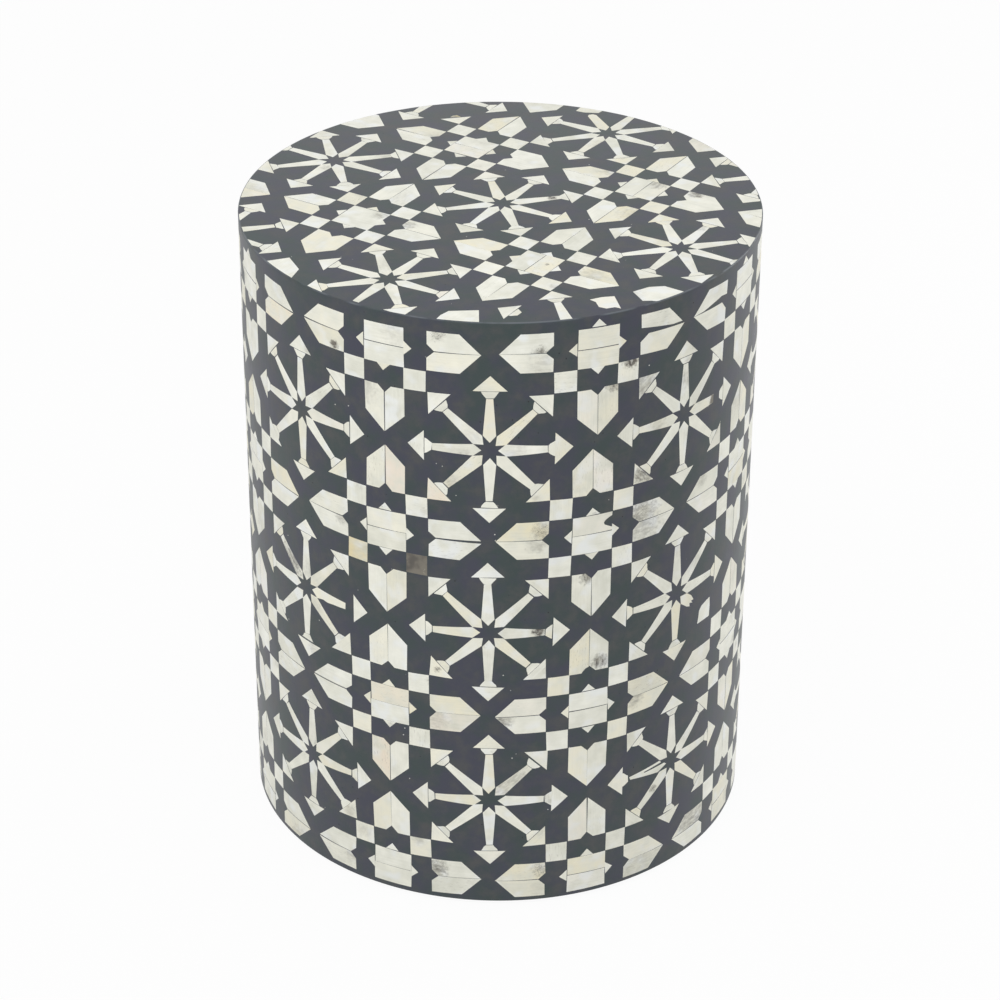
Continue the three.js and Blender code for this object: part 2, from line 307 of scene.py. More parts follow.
@dataclass(frozen=True)
class BoneFinish:
    """Polished bone, cream with fine grain and pores; each tile's attributes tell its tint and stain."""

    deep: Colour = colour(196, 196, 179)
    pale: Colour = colour(246, 246, 236)
    pale_share: float = 0.66
    tone_share: float = 0.22
    streak_share: float = 0.5
    cloud_share: float = 0.9
    milk: Colour = colour(236, 239, 239)
    milk_edge: Span = (0.5, 0.72)
    milk_share: float = 0.7
    honey: Colour = colour(230, 218, 174)
    blush: Colour = colour(236, 216, 198)
    tint_edge: Span = (0.3, 0.68)
    tint_share: float = 0.95
    least_tint: float = 0.25
    smoke: Colour = colour(118, 113, 102)
    soot: Colour = colour(84, 80, 74)
    soot_edge: Span = (0.36, 0.62)
    stain_edge: Span = (1.0, 0.2)
    stain_swirl: float = 1.3
    grime_edge: Span = (0.3, 0.7)
    grime_share: float = 0.8
    least_grime: float = 0.3
    pore: Colour = colour(112, 102, 86)
    pore_edge: Span = (0.66, 0.74)
    speck: Colour = colour(48, 44, 42)
    speck_edge: Span = (0.42, 0.2)
    roughness: float = 0.4
    streak_roughness: float = 0.14
    pore_roughness: float = 0.2
    streak_scale: Scale = (60.0, 800.0, 1.0)
    pore_scale: Scale = (260.0, 2600.0, 1.0)
    cloud_scale: float = 95.0
    swirl_scale: float = 420.0
    milk_scale: float = 80.0
    grime_scale: Scale = (190.0, 420.0, 1.0)
    speck_scale: float = 1500.0
    streak_height: float = 0.4
    pore_height: float = 0.6
    depth: float = 0.03 * MM

    def material(self) -> bpy.types.Material:
        """Makes the material."""
        paint, made = Paint.material("bone")
        along, across, seed = paint.attribute("grain")
        tone, yellow, pink = paint.attribute("mood")
        mark_along, mark_across, smudge = paint.attribute("mark")
        streaky, porous, specked = paint.attribute("wear")
        own = paint.join(along, across, seed)
        streak = paint.noise(own, self.streak_scale, detail=3.0)
        pores = paint.noise(own, self.pore_scale, detail=1.0)
        cloud = paint.noise(own, self.cloud_scale, detail=3.0)
        swirl = paint.noise(own, self.swirl_scale, detail=4.0, roughness=0.6)
        milky = paint.noise(own, self.milk_scale, detail=1.0)

        light = self.pale_share + tone * self.tone_share
        light = light + streak.swing * streaky * self.streak_share + cloud.swing * self.cloud_share
        body = paint.mix(paint.limited(light), self.deep, self.pale)
        body = paint.mix(paint.between(milky, *self.milk_edge) * self.milk_share, body, self.milk)
        patchy = paint.between(cloud, *self.tint_edge) * self.tint_share + self.least_tint
        body = paint.mix(paint.limited(yellow * patchy), body, self.honey)
        body = paint.mix(paint.limited(pink * patchy), body, self.blush)

        offset = paint.join(mark_along, mark_across, 0.0)
        reach = paint.node("ShaderNodeVectorMath", {"operation": "LENGTH"}, {0: offset}, "Value")
        inside = paint.between(reach + swirl.swing * self.stain_swirl, *self.stain_edge)
        grime = paint.noise(own, self.grime_scale, detail=5.0, roughness=0.6)
        grimy = self.least_grime + paint.between(grime, *self.grime_edge) * self.grime_share
        dirt = paint.mix(paint.between(cloud, *self.soot_edge), self.smoke, self.soot)
        body = paint.mix(paint.limited(inside * smudge * grimy), body, dirt)
        hollow = paint.between(pores, *self.pore_edge) * porous
        body = paint.mix(paint.limited(hollow), body, self.pore)
        dots = paint.between(paint.spots(own, self.speck_scale), *self.speck_edge) * inside * specked
        body = paint.mix(paint.limited(dots), body, self.speck)
        rough = streak.swing * self.streak_roughness + hollow * self.pore_roughness
        relief = streak * self.streak_height - hollow * self.pore_height - dots
        paint.surface({
            "Base Color": body,
            "Roughness": self.roughness + rough,
            "Normal": paint.bump(relief, self.depth),
        })
        return made


@dataclass(frozen=True)
class FillerFinish:
    """Sanded resin filler: slate grey, soft clouds, fine grit, pale and dark specks, painted rim highlight.
    """

    slate: Colour = colour(50, 63, 63)
    violet: Colour = colour(57, 59, 73)
    violet_edge: Span = (0.36, 0.64)
    ash: Colour = colour(71, 72, 72)
    ash_edge: Span = (0.4, 0.76)
    ash_share: float = 0.9
    grit_share: float = 0.5
    pit: Colour = colour(24, 27, 30)
    pit_edge: Span = (0.075, 0.05)
    pitted_edge: Span = (0.55, 0.6)
    chalk: Colour = colour(208, 208, 202)
    chalk_edge: Span = (0.065, 0.045)
    chalky_edge: Span = (0.33, 0.3)
    # painted highlight: a pale line painted along the rim's arris, in patches, with its width and scale
    rubbed: Colour = colour(96, 102, 108)
    rubbed_edge: Span = (0.36, 0.6)
    rub_width: float = 1.2 * MM
    rub_core_share: float = 0.4
    roughness: float = 0.42
    veil_roughness: float = 0.16
    scratch_roughness: float = 0.1
    gloss: float = 0.44
    cloud_scale: float = 36.0
    veil_scale: float = 75.0
    grit_scale: float = 1900.0
    scratch_scale: Scale = (1400.0, 1400.0, 60.0)
    speck_scale: float = 130.0
    specked_scale: float = 130.0 / 3
    rub_scale: float = 55.0
    grit_height: float = 0.5
    scratch_height: float = 0.3
    depth: float = 0.02 * MM

    def material(self) -> bpy.types.Material:
        """Makes the material."""
        paint, made = Paint.material("filler")
        place = paint.place()
        cloud = paint.noise(place, self.cloud_scale, detail=4.0, roughness=0.62)
        veil = paint.noise(place, self.veil_scale, detail=4.0, roughness=0.6)
        grit = paint.noise(place, self.grit_scale)
        scratch = paint.noise(place, self.scratch_scale, detail=1.0)
        body = paint.mix(paint.between(cloud, *self.violet_edge), self.slate, self.violet)
        dust = paint.between(veil, *self.ash_edge) * self.ash_share + grit.swing * self.grit_share
        body = paint.mix(paint.limited(dust), body, self.ash)
        spots = paint.spots(place, self.speck_scale)
        region = paint.noise(place, self.specked_scale, detail=0.0)
        pits = paint.between(spots, *self.pit_edge) * paint.between(region, *self.pitted_edge)
        chips = paint.between(spots, *self.chalk_edge) * paint.between(region, *self.chalky_edge)
        body = paint.mix(pits, body, self.pit)
        body = paint.mix(chips, body, self.chalk)
        # paints a pale highlight along the rim's arris
        body = paint.mix(self._rub(paint, place), body, self.rubbed)
        worn = veil.swing * self.veil_roughness + scratch.swing * self.scratch_roughness
        relief = grit * self.grit_height + scratch * self.scratch_height - pits
        paint.surface({
            "Base Color": body,
            "Specular IOR Level": self.gloss,
            "Roughness": self.roughness + worn,
            "Normal": paint.bump(relief, self.depth),
        })
        return made

    def _rub(self, paint: Paint, place: Socket) -> Socket:
        """How strongly a highlight is painted pale along the rim's arris, here and there."""
        x, y, z = paint.split(place)
        from_rim = (DRUM_RADIUS - (x * x + y * y) ** 0.5) + (SEAT_LEVEL - z)
        near = paint.between(from_rim, self.rub_width, self.rub_width * self.rub_core_share)
        return near * paint.between(paint.noise(place, self.rub_scale), *self.rubbed_edge)


@dataclass(frozen=True)
class TimberFinish:
    """Bare timber or board: two tones along its grain, over patches of a third."""

    name: str
    body: Colour
    dark: Colour
    pale: Colour
    grain_scale: Scale
    patch_scale: float
    ply: float | None = None
    grain_edge: Span = (0.38, 0.66)
    grain_share: float = 0.8
    patch_edge: Span = (0.45, 0.75)
    patch_share: float = 0.5
    ply_edge: Span = (0.6, 0.95)
    ply_share: float = 0.7
    roughness: float = 0.78
    grain_roughness: float = 0.12
    depth: float = 0.05 * MM

    def material(self) -> bpy.types.Material:
        """Makes the material."""
        paint, made = Paint.material(self.name)
        place = paint.place()
        grain = paint.noise(place, self.grain_scale, detail=4.0, roughness=0.65)
        patch = paint.noise(place, self.patch_scale, detail=3.0)
        body = paint.mix(paint.between(grain, *self.grain_edge) * self.grain_share, self.body, self.dark)
        body = paint.mix(paint.between(patch, *self.patch_edge) * self.patch_share, body, self.pale)
        if self.ply:
            x, y, _ = paint.split(place)
            layers = (x * x + y * y) ** 0.5 * (math.tau / self.ply)
            wave = paint.node("ShaderNodeMath", {"operation": "SINE"}, {0: layers})
            body = paint.mix(paint.between(wave, *self.ply_edge) * self.ply_share, body, self.dark)
        paint.surface({
            "Base Color": body,
            "Roughness": self.roughness + grain.swing * self.grain_roughness,
            "Normal": paint.bump(grain, self.depth),
        })
        return made


@dataclass(frozen=True)
class WornFinish:
    """Nylon or plated steel: one tone, with worn patches of another."""

    name: str
    body: Colour
    worn: Colour
    metallic: float
    roughness: float
    patch_scale: float
    worn_edge: Span = (0.46, 0.68)
    worn_share: float = 0.7
    worn_roughness: float = 0.2
    depth: float = 0.02 * MM

    def material(self) -> bpy.types.Material:
        """Makes the material."""
        paint, made = Paint.material(self.name)
        patch = paint.noise(paint.place(), self.patch_scale, detail=4.0, roughness=0.65)
        worn = paint.between(patch, *self.worn_edge)
        paint.surface({
            "Base Color": paint.mix(worn * self.worn_share, self.body, self.worn),
            "Metallic": self.metallic,
            "Roughness": self.roughness + worn * self.worn_roughness,
            "Normal": paint.bump(patch, self.depth),
        })
        return made


class Finishes:
    """Every material of the stool, made once, by the record's slot names."""

    def __init__(self) -> None:
        """Makes the materials."""
        recipes = {
            "bone": BoneFinish(),
            "filler": FillerFinish(),
            "board": TimberFinish(
                "board", colour(160, 132, 98), colour(122, 96, 68), colour(188, 162, 126),
                grain_scale=(420.0, 420.0, 420.0), patch_scale=22.0),
            "plywood": TimberFinish(
                "plywood", colour(199, 168, 122), colour(146, 108, 70), colour(214, 188, 146),
                grain_scale=(90.0, 90.0, 900.0), patch_scale=18.0, ply=1.2 * MM),
            "pine": TimberFinish(
                "pine", colour(222, 192, 145), colour(184, 138, 86), colour(232, 206, 164),
                grain_scale=(260.0, 260.0, 9.0), patch_scale=14.0),
            "glide": WornFinish(
                "nylon", colour(46, 45, 44), colour(92, 90, 86),
                metallic=0.0, roughness=0.42, patch_scale=260.0),
            "steel": WornFinish(
                "steel", colour(176, 180, 186), colour(126, 128, 130),
                metallic=1.0, roughness=0.32, patch_scale=600.0),
        }
        self.by_slot = {slot: recipe.material() for slot, recipe in recipes.items()}

    def dress(self, piece: bpy.types.Object, slot: str) -> None:
        """Gives a piece the material of a slot, in place of any that it has."""
        piece.data.materials.clear()
        piece.data.materials.append(self.by_slot[slot])


# Pieces

def add_piece(name: str, bm: bmesh.types.BMesh, finishes: Finishes, slot: str,
              stands_for: Iterable[str] = ()) -> bpy.types.Object:
    """Turns a bmesh into a piece that rides on the stool.

    Args:
        name: The piece's name.
        bm: Its mesh, which is freed.
        finishes: The stool's materials.
        slot: The record's slot name.
        stands_for: The CAD nodes that it replaces.

    Returns:
        The piece.
    """
    mesh = bpy.data.meshes.new(name)
    bm.to_mesh(mesh)
    bm.free()
    piece = bpy.data.objects.new(name, mesh)
    bpy.context.scene.collection.objects.link(piece)
    finishes.dress(piece, slot)
    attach(piece, BODY)
    if stands_for:
        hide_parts(*stands_for)
    log.info("%s: %d faces of %s", name, len(mesh.polygons), slot)
    return piece


def shade(bm: bmesh.types.BMesh, limit: float = math.radians(28)) -> None:
    """Shades a mesh smooth, but keeps edges sharp that turn by more than a limit.

    Args:
        bm: The mesh.
        limit: The angle, in radians.
    """
    for face in bm.faces:
        face.smooth = True
    for edge in bm.edges:
        edge.smooth = edge.calc_face_angle(math.pi) < limit


def turned(profile: Outline, segments: int) -> bmesh.types.BMesh:
    """Spins a profile of (radius, height) points about Z.

    Args:
        profile: The points; it starts and ends on the axis, or is closed into a ring.
        segments: How many steps the full turn has.

    Returns:
        The closed mesh.
    """
    bm = bmesh.new()
    verts = [bm.verts.new((radius, 0.0, height)) for radius, height in profile]
    edges = [bm.edges.new(pair) for pair in zip(verts, verts[1:])]
    if profile[0][0] > 0.0:
        edges.append(bm.edges.new((verts[-1], verts[0])))
    bmesh.ops.spin(bm, geom=verts + edges, cent=(0, 0, 0), axis=(0, 0, 1), angle=math.tau,
                   steps=segments, use_merge=True)
    bmesh.ops.remove_doubles(bm, verts=bm.verts, dist=WELD)
    bmesh.ops.recalc_face_normals(bm, faces=bm.faces)
    return bm


def quarter_round(centre: Point, radius: float, steps: int) -> Outline:
    """Points of a quarter circle, from its outermost point up to its highest.

    Args:
        centre: Its centre.
        radius: Its radius.
        steps: How many stretches it has.

    Returns:
        The points.
    """
    angles = [step * math.pi / 2 / steps for step in range(steps + 1)]
    return [(centre[0] + radius * math.cos(a), centre[1] + radius * math.sin(a)) for a in angles]


def mirrored(half: Outline) -> Outline:
    """An outline whose upper half is given, from its nearest point to its farthest."""
    lower = [(x, -y) for x, y in reversed(half) if y > 0.0]
    return half + lower


def turned_by(point: Point, angle: float) -> Point:
    """A flat point turned about the origin."""
    cosine, sine = math.cos(angle), math.sin(angle)
    return point[0] * cosine - point[1] * sine, point[0] * sine + point[1] * cosine


def moved_by(point: Point, step: Point) -> Point:
    """A flat point moved by a step."""
    return point[0] + step[0], point[1] + step[1]


def stray(luck: random.Random, most: float) -> float:
    """A random amount of at most so much, either way."""
    return luck.uniform(-1, 1) * most


# Bone tiles

@dataclass(frozen=True)
class Quirk:
    """What sets one tile apart; its stain's place along and across the grain is from the tile's middle.

    The shares are of the tile's half length.
    """

    tone: float | None = None
    yellow: float | None = None
    pink: float | None = None
    smudge: float = 0.0
    specks: float = 0.0
    at_share: Point = (0.0, 0.0)
    reach_share: float = 0.7
    shift: Point = (0.0, 0.0)
    turn: float = 0.0
    size: float = 1.0
    outline: Outline | None = None
    left_out: bool = False


@dataclass(frozen=True)
class Chance:
    """A value that is strong on some tiles, and faint or nothing on the others."""

    odds: float
    strong: Span
    faint: Span | None = None

    def draw(self, luck: random.Random) -> float:
        """Draws the value of one tile."""
        span = self.strong if luck.random() < self.odds else self.faint
        return luck.uniform(*span) if span else 0.0


@dataclass(frozen=True)
class TileLooks:
    """How the looks of the bone differ from tile to tile."""

    seed: Span = (0.0, 40.0)
    tone_spread: float = 0.34
    yellow: Chance = Chance(0.25, (0.1, 0.42), (0.0, 0.1))
    pink: Chance = Chance(0.05, (0.05, 0.2))
    smudge: Chance = Chance(0.26, (0.1, 0.4), (0.0, 0.06))
    stain_along: float = 1.0
    stain_across: float = 0.6
    stain_reach: Span = (0.35, 0.8)
    streaks: Span = (0.3, 1.0)
    pores: Chance = Chance(0.3, (0.1, 0.5))

    def draw(self, luck: random.Random, quirk: Quirk, half_length: float) -> dict[str, Vector]:
        """Draws what one tile's bone looks like.

        Args:
            luck: The tile's random source.
            quirk: What sets it apart.
            half_length: Half the tile's length.

        Returns:
            The values of its attributes.
        """
        seed = luck.uniform(*self.seed)
        tone = luck.gauss(0.0, self.tone_spread)
        yellow = self.yellow.draw(luck)
        pink = self.pink.draw(luck)
        smudge = self.smudge.draw(luck)
        at = (stray(luck, self.stain_along), stray(luck, self.stain_across))
        reach = luck.uniform(*self.stain_reach)
        streaks = luck.uniform(*self.streaks)
        pores = self.pores.draw(luck)
        if quirk.smudge or quirk.specks:
            at, reach, smudge = quirk.at_share, quirk.reach_share, quirk.smudge
        tone = tone if quirk.tone is None else quirk.tone
        yellow = yellow if quirk.yellow is None else quirk.yellow
        pink = pink if quirk.pink is None else quirk.pink
        return {
            "stain": Vector((*at, reach)) * half_length,
            "grain": Vector((0.0, 0.0, seed)),
            "mood": Vector((tone, yellow, pink)),
            "mark": Vector((0.0, 0.0, smudge)),
            "wear": Vector((streaks, pores, quirk.specks)),
        }


@dataclass(frozen=True)
class Crumbs:
    """Bits of bone that are stuck in the filler beside the tiles' corners."""

    count: int
    away: Span = (0.3 * MM, 1.1 * MM)
    size: Span = (0.25 * MM, 0.45 * MM)
    sides: int = 5


@dataclass(frozen=True)
class Tile:
    """One tile as drawn: an outline that points east, turned and set down on the flat pattern."""

    place: str
    group: str
    outline: Outline
    origin: Point
    turn: float
    grain: float = 0.0
    pivot: Point = (0.0, 0.0)


@dataclass(frozen=True)
class HandWork:
    """How far hand-cut tiles stray from the drawing."""

    seed: str
    group_shift: float = 0.34 * MM
    group_turn: float = math.radians(0.9)
    tile_shift: float = 0.07 * MM
    tile_turn: float = math.radians(0.5)
    tile_size: float = 0.012
    corner_shift: float = 0.23 * MM
    deepest: float = 0.015 * MM

    def luck(self, place: str) -> random.Random:
        """The random source that belongs to one place of the pattern."""
        return random.Random(f"{self.seed} {place}")

    def cut(self, tile: Tile, quirk: Quirk) -> tuple[Outline, Point, float]:
        """Cuts and sets one tile by hand.

        Args:
            tile: The tile as drawn.
            quirk: What sets it apart.

        Returns:
            Its corners on the flat pattern, its middle there and its turn.
        """
        group, own = self.luck(tile.group), self.luck(tile.place)
        drift = (stray(group, self.group_shift), stray(group, self.group_shift))
        swing = stray(group, self.group_turn)
        slip = (stray(own, self.tile_shift), stray(own, self.tile_shift))
        twist = stray(own, self.tile_turn) + quirk.turn
        outline = quirk.outline or tile.outline
        middle = (sum(x for x, _ in outline) / len(outline), sum(y for _, y in outline) / len(outline))
        size = quirk.size * (1 + stray(own, self.tile_size))
        pivot = tile.pivot
        corners = []
        for x, y in outline:
            corner = ((x - middle[0]) * size + stray(own, self.corner_shift),
                      (y - middle[1]) * size + stray(own, self.corner_shift))
            corner = moved_by(turned_by(corner, twist), moved_by(middle, slip))
            corner = moved_by(turned_by((corner[0] - pivot[0], corner[1] - pivot[1]), swing), pivot)
            corner = moved_by(turned_by(corner, tile.turn), moved_by(tile.origin, drift))
            corners.append(moved_by(corner, quirk.shift))
        middle = moved_by(turned_by(middle, tile.turn), tile.origin)
        return corners, middle, tile.turn + tile.grain


@dataclass
class TileSheet:
    """A sheet of bone tiles, made flat with its face up, with the attributes of the bone finish."""

    hand: HandWork
    quirks: dict[str, Quirk]
    looks: TileLooks = TileLooks()
    thickness: float = 2.0 * MM
    arris: float = 0.12 * MM
    working: tuple[str, ...] = ("middle", "stain")
    lasting: tuple[str, ...] = ("grain", "mood", "mark", "wear")
    bm: bmesh.types.BMesh = field(default_factory=bmesh.new)

    def __post_init__(self) -> None:
        """Gives the empty sheet its attributes."""
        layers = self.bm.verts.layers.float_vector
        names = self.working + self.lasting
        for name in names:
            layers.new(name)
        self.layers = {name: layers[name] for name in names}

    def add(self, tile: Tile) -> None:
        """Adds one tile's flat outline, with what its bone looks like."""
        quirk = self.quirks.get(tile.place, Quirk())
        if quirk.left_out:
            return
        corners, middle, turn = self.hand.cut(tile, quirk)
        half_length = max(math.dist(corner, middle) for corner in corners)
        luck = self.hand.luck(f"{tile.place} bone")
        depth = -luck.uniform(0.0, self.hand.deepest)
        values = self.looks.draw(luck, quirk, half_length)
        values["middle"] = Vector((*middle, turn))
        verts = [self.bm.verts.new((*corner, depth)) for corner in corners]
        for vert in verts:
            for name, value in values.items():
                vert[self.layers[name]] = value
        self.bm.faces.new(verts)

    def scatter(self, name: str, crumbs: Crumbs) -> None:
        """Adds crumbs beside the corners of the tiles.

        Args:
            name: The sheet's name in the pattern.
            crumbs: How many there are, how large and how far off.
        """
        luck = self.hand.luck(f"{name} crumbs")
        corners = [(vert.co.x, vert.co.y) for vert in self.bm.verts]
        for number in range(crumbs.count):
            bearing = luck.uniform(0.0, math.tau)
            away = turned_by((luck.uniform(*crumbs.away), 0.0), bearing)
            size = luck.uniform(*crumbs.size)
            angles = [side * math.tau / crumbs.sides for side in range(crumbs.sides)]
            outline = [turned_by((size, 0.0), angle) for angle in angles]
            crumb = f"{name} crumb {number}"
            self.add(Tile(crumb, crumb, outline, moved_by(luck.choice(corners), away), bearing))

    def trim(self, radius: float, sides: int, least_area: float) -> None:
        """Cuts the flat sheet to a disc.

        Args:
            radius: The disc's radius.
            sides: How many straight cuts go round it.
            least_area: Bits with less area than this fall away.
        """
        for side in range(sides):
            out = Vector((*turned_by((1.0, 0.0), side * math.tau / sides), 0.0))
            bmesh.ops.bisect_plane(self.bm, geom=[*self.bm.verts, *self.bm.edges, *self.bm.faces],
                                   dist=WELD, plane_co=out * radius, plane_no=out, clear_outer=True)
        bits = [face for face in self.bm.faces if face.calc_area() < least_area]
        bmesh.ops.delete(self.bm, geom=bits, context="FACES")

    def thicken(self) -> None:
        """Gives the outlines their thickness below the face, and a fine worn arris round it."""
        faces = list(self.bm.faces)
        bmesh.ops.translate(self.bm, verts=self.bm.verts, vec=(0, 0, -self.thickness))
        lifted = bmesh.ops.extrude_face_region(self.bm, geom=faces, use_keep_orig=True)["geom"]
        upper = [item for item in lifted if isinstance(item, bmesh.types.BMVert)]
        tops = [item for item in lifted if isinstance(item, bmesh.types.BMFace)]
        bmesh.ops.translate(self.bm, verts=upper, vec=(0, 0, self.thickness - self.arris))
        bmesh.ops.recalc_face_normals(self.bm, faces=self.bm.faces)
        bmesh.ops.inset_individual(self.bm, faces=tops, thickness=self.arris, depth=self.arris,
                                   use_even_offset=True)

    def slice(self, width: float) -> None:
        """Cuts the sheet into upright strips, so that it can bend.

        Args:
            width: The strips' width.
        """
        reach = [vert.co.x for vert in self.bm.verts]
        for step in range(math.ceil(min(reach) / width), math.floor(max(reach) / width) + 1):
            bmesh.ops.bisect_plane(self.bm, geom=[*self.bm.verts, *self.bm.edges, *self.bm.faces],
                                   dist=WELD, plane_co=(step * width, 0, 0), plane_no=(1, 0, 0))

    def settle(self) -> None:
        """Works out each point's place in its tile's grain, and from its tile's stain."""
        for vert in self.bm.verts:
            x, y, turn = vert[self.layers["middle"]]
            along, across = turned_by((vert.co.x - x, vert.co.y - y), -turn)
            stain = vert[self.layers["stain"]]
            seed, smudge = vert[self.layers["grain"]].z, vert[self.layers["mark"]].z
            offset = ((along - stain.x) / stain.z, (across - stain.y) / stain.z)
            vert[self.layers["grain"]] = Vector((along, across, seed))
            vert[self.layers["mark"]] = Vector((*offset, smudge))
        layers = self.bm.verts.layers.float_vector
        for name in self.working:
            layers.remove(layers[name])


@dataclass(frozen=True)
class StarMotif:
    """A square block with four points, four corner squares and four houses, each a pair of halves."""

    block_half: float = 14.0 * MM
    point_reach: float = 19.6 * MM
    point_half: float = 5.0 * MM
    square_side: float = 15.2 * MM
    house_gap: float = 9.0 * MM
    notch_half: float = 4.6 * MM
    notch_depth: float = 4.7 * MM
    seam: float = 0.36 * MM
    seam_shares: Span = (0.35, 1.15)
    corner_gap: float = 0.12 * MM
    whole_houses: frozenset[str] = frozenset()

    @property
    def reach(self) -> float:
        """How far the squares reach from the middle, east and north."""
        return self.block_half + self.square_side

    def corner(self, centre: Point, way: Way) -> Point:
        """The outer corner of the square that lies a slanting way from a star's middle."""
        step = turned_by((self.reach, self.reach), way.angle - Way.NE.angle)
        return moved_by(centre, step)

    def tiles(self, place: str, centre: Point, pitches: Point, block: Seam = Seam.LEVEL) -> list[Tile]:
        """Draws one star.

        Args:
            place: The star's name in the pattern.
            centre: Its middle.
            pitches: The pattern's pitch across and up.
            block: How its block is cut.

        Returns:
            Its tiles.
        """
        tiles = self._block(place, centre, block)
        for way in STRAIGHT:
            pitch = pitches[0] if way in (Way.E, Way.W) else pitches[1]
            tiles.append(self._point(place, centre, way))
            tiles.append(self._square(place, centre, way))
            tiles.extend(self._house(place, centre, way, (pitch - self.house_gap) / 2))
        return tiles

    def _joint(self, name: str) -> float:
        """Half the gap between two halves, which differs from pair to pair."""
        return self.seam / 2 * random.Random(f"joint {name}").uniform(*self.seam_shares)

    def _block(self, place: str, centre: Point, block: Seam) -> list[Tile]:
        """The block, whole or as two halves."""
        name = f"{place} block"
        half, near = self.block_half, self._joint(name)
        if block is Seam.WHOLE:
            square = [(-half, -half), (half, -half), (half, half), (-half, half)]
            return [Tile(name, name, square, centre, 0.0)]
        turn = 0.0 if block is Seam.LEVEL else math.pi / 2
        names = ("upper", "lower") if block is Seam.LEVEL else ("left", "right")
        above = [(-half, near), (half, near), (half, half), (-half, half)]
        below = [(-half, -half), (half, -half), (half, -near), (-half, -near)]
        return [Tile(f"{name} {part}", name, outline, centre, turn)
                for part, outline in zip(names, (above, below))]

    def _point(self, place: str, centre: Point, way: Way) -> Tile:
        """One of the small points on the block's sides."""
        foot = self.block_half + self.seam / 2
        outline = mirrored([(foot, self.point_half), (self.point_reach, 0.0)])
        name = f"{place} point {way.name}"
        return Tile(name, name, outline, centre, way.angle, math.pi / 2, (foot, 0.0))

    def _square(self, place: str, centre: Point, way: Way) -> Tile:
        """The square on the corner that lies an eighth of a turn past a straight way."""
        near, far = self.block_half + self.corner_gap, self.reach - self.corner_gap
        outline = [(near, near), (far, near), (far, far), (near, far)]
        name = f"{place} square {way.past(0.5).name}"
        return Tile(name, name, outline, centre, way.angle, 0.0, (near, near))

    def _house(self, place: str, centre: Point, way: Way, reach: float) -> list[Tile]:
        """The two halves of the house that reaches out one way, or the whole house."""
        base, half = self.reach + self.corner_gap, self.block_half - self.corner_gap
        name = f"{place} house {way.name}"
        near = self._joint(name)
        if name in self.whole_houses:
            whole = mirrored([(base + self.notch_depth, 0.0), (base, self.notch_half), (base, half),
                              (reach - half, half), (reach, 0.0)])
            return [Tile(name, name, whole, centre, way.angle, 0.0, (base, 0.0))]
        outline = [(base + self.notch_depth, near), (reach - near, near), (reach - half, half),
                   (base, half), (base, self.notch_half)]
        opposite = [(x, -y) for x, y in reversed(outline)]
        return [Tile(f"{name} {part}", name, shape, centre, way.angle, 0.0, (base, 0.0))
                for part, shape in zip(HALVES[way], (outline, opposite))]


@dataclass(frozen=True)
class CompassMotif:
    """Eight tapered arms round an open middle, each with a collar and an arrowhead."""

    tip_radius: float = 5.5 * MM
    shoulder_radius: float = 10.5 * MM
    arm_end_half: float = 2.4 * MM
    collar_length: float = 4.9 * MM
    collar_half: float = 5.8 * MM
    collar_curve_shares: tuple[Point, ...] = ((0.3, 0.64), (0.68, 0.88))
    head_length: float = 11.3 * MM
    head_half: float = 11.0 * MM
    straight_reach: float = 53.7 * MM
    seam: float = 0.22 * MM

    def tiles(self, place: str, centre: Point, star: StarMotif, stars: dict[Way, Point]) -> list[Tile]:
        """Draws one compass between four stars.

        Args:
            place: The compass's name in the pattern.
            centre: Its middle.
            star: The stars' sizes, whose squares the slanting arms reach.
            stars: The middles of the four stars round it, by the ways in which they lie.

        Returns:
            Its tiles.
        """
        ends = {way: moved_by(centre, turned_by((self.straight_reach, 0.0), way.angle)) for way in STRAIGHT}
        for way, middle in stars.items():
            ends[way] = star.corner(middle, way.past(2))
        tiles = []
        for way, (x, y) in ends.items():
            across, along = x - centre[0], y - centre[1]
            reach = math.hypot(across, along) - self.seam / 2
            tiles.extend(self._arm(f"{place} {way.name}", centre, math.atan2(along, across), reach))
        return tiles

    def _arm(self, name: str, centre: Point, turn: float, reach: float) -> list[Tile]:
        """One arm with its collar and head; the arms touch at their shoulders, but for a seam."""
        shoulder = self.shoulder_radius * math.tan(math.pi / len(Way)) - self.seam / 4
        head_foot = reach - self.head_length
        collar_foot = head_foot - self.collar_length
        curve = [(collar_foot + self.collar_length * along, self.collar_half * wide)
                 for along, wide in self.collar_curve_shares]
        shapes = {
            "arm": mirrored([
                (self.tip_radius, 0.0), (self.shoulder_radius, shoulder),
                (collar_foot - self.seam / 2, self.arm_end_half),
            ]),
            "collar": mirrored([
                (collar_foot + self.seam / 2, self.arm_end_half + self.seam / 2), *curve,
                (head_foot - self.seam / 2, self.collar_half),
            ]),
            "head": mirrored([(head_foot + self.seam / 2, self.head_half), (reach, 0.0)]),
        }
        grains = {"arm": 0.0, "collar": math.pi / 2, "head": math.pi / 2}
        return [Tile(f"{name} {part}", name, outline, centre, turn, grains[part])
                for part, outline in shapes.items()]


def in_mm(*points: Point) -> Outline:
    """Points given in millimetres, in metres."""
    return [(x * MM, y * MM) for x, y in points]


def across_and_up(x: float, y: float) -> Point:
    """A step of x millimetres across and y up."""
    return x * MM, y * MM


LEFT_OUT = Quirk(left_out=True)

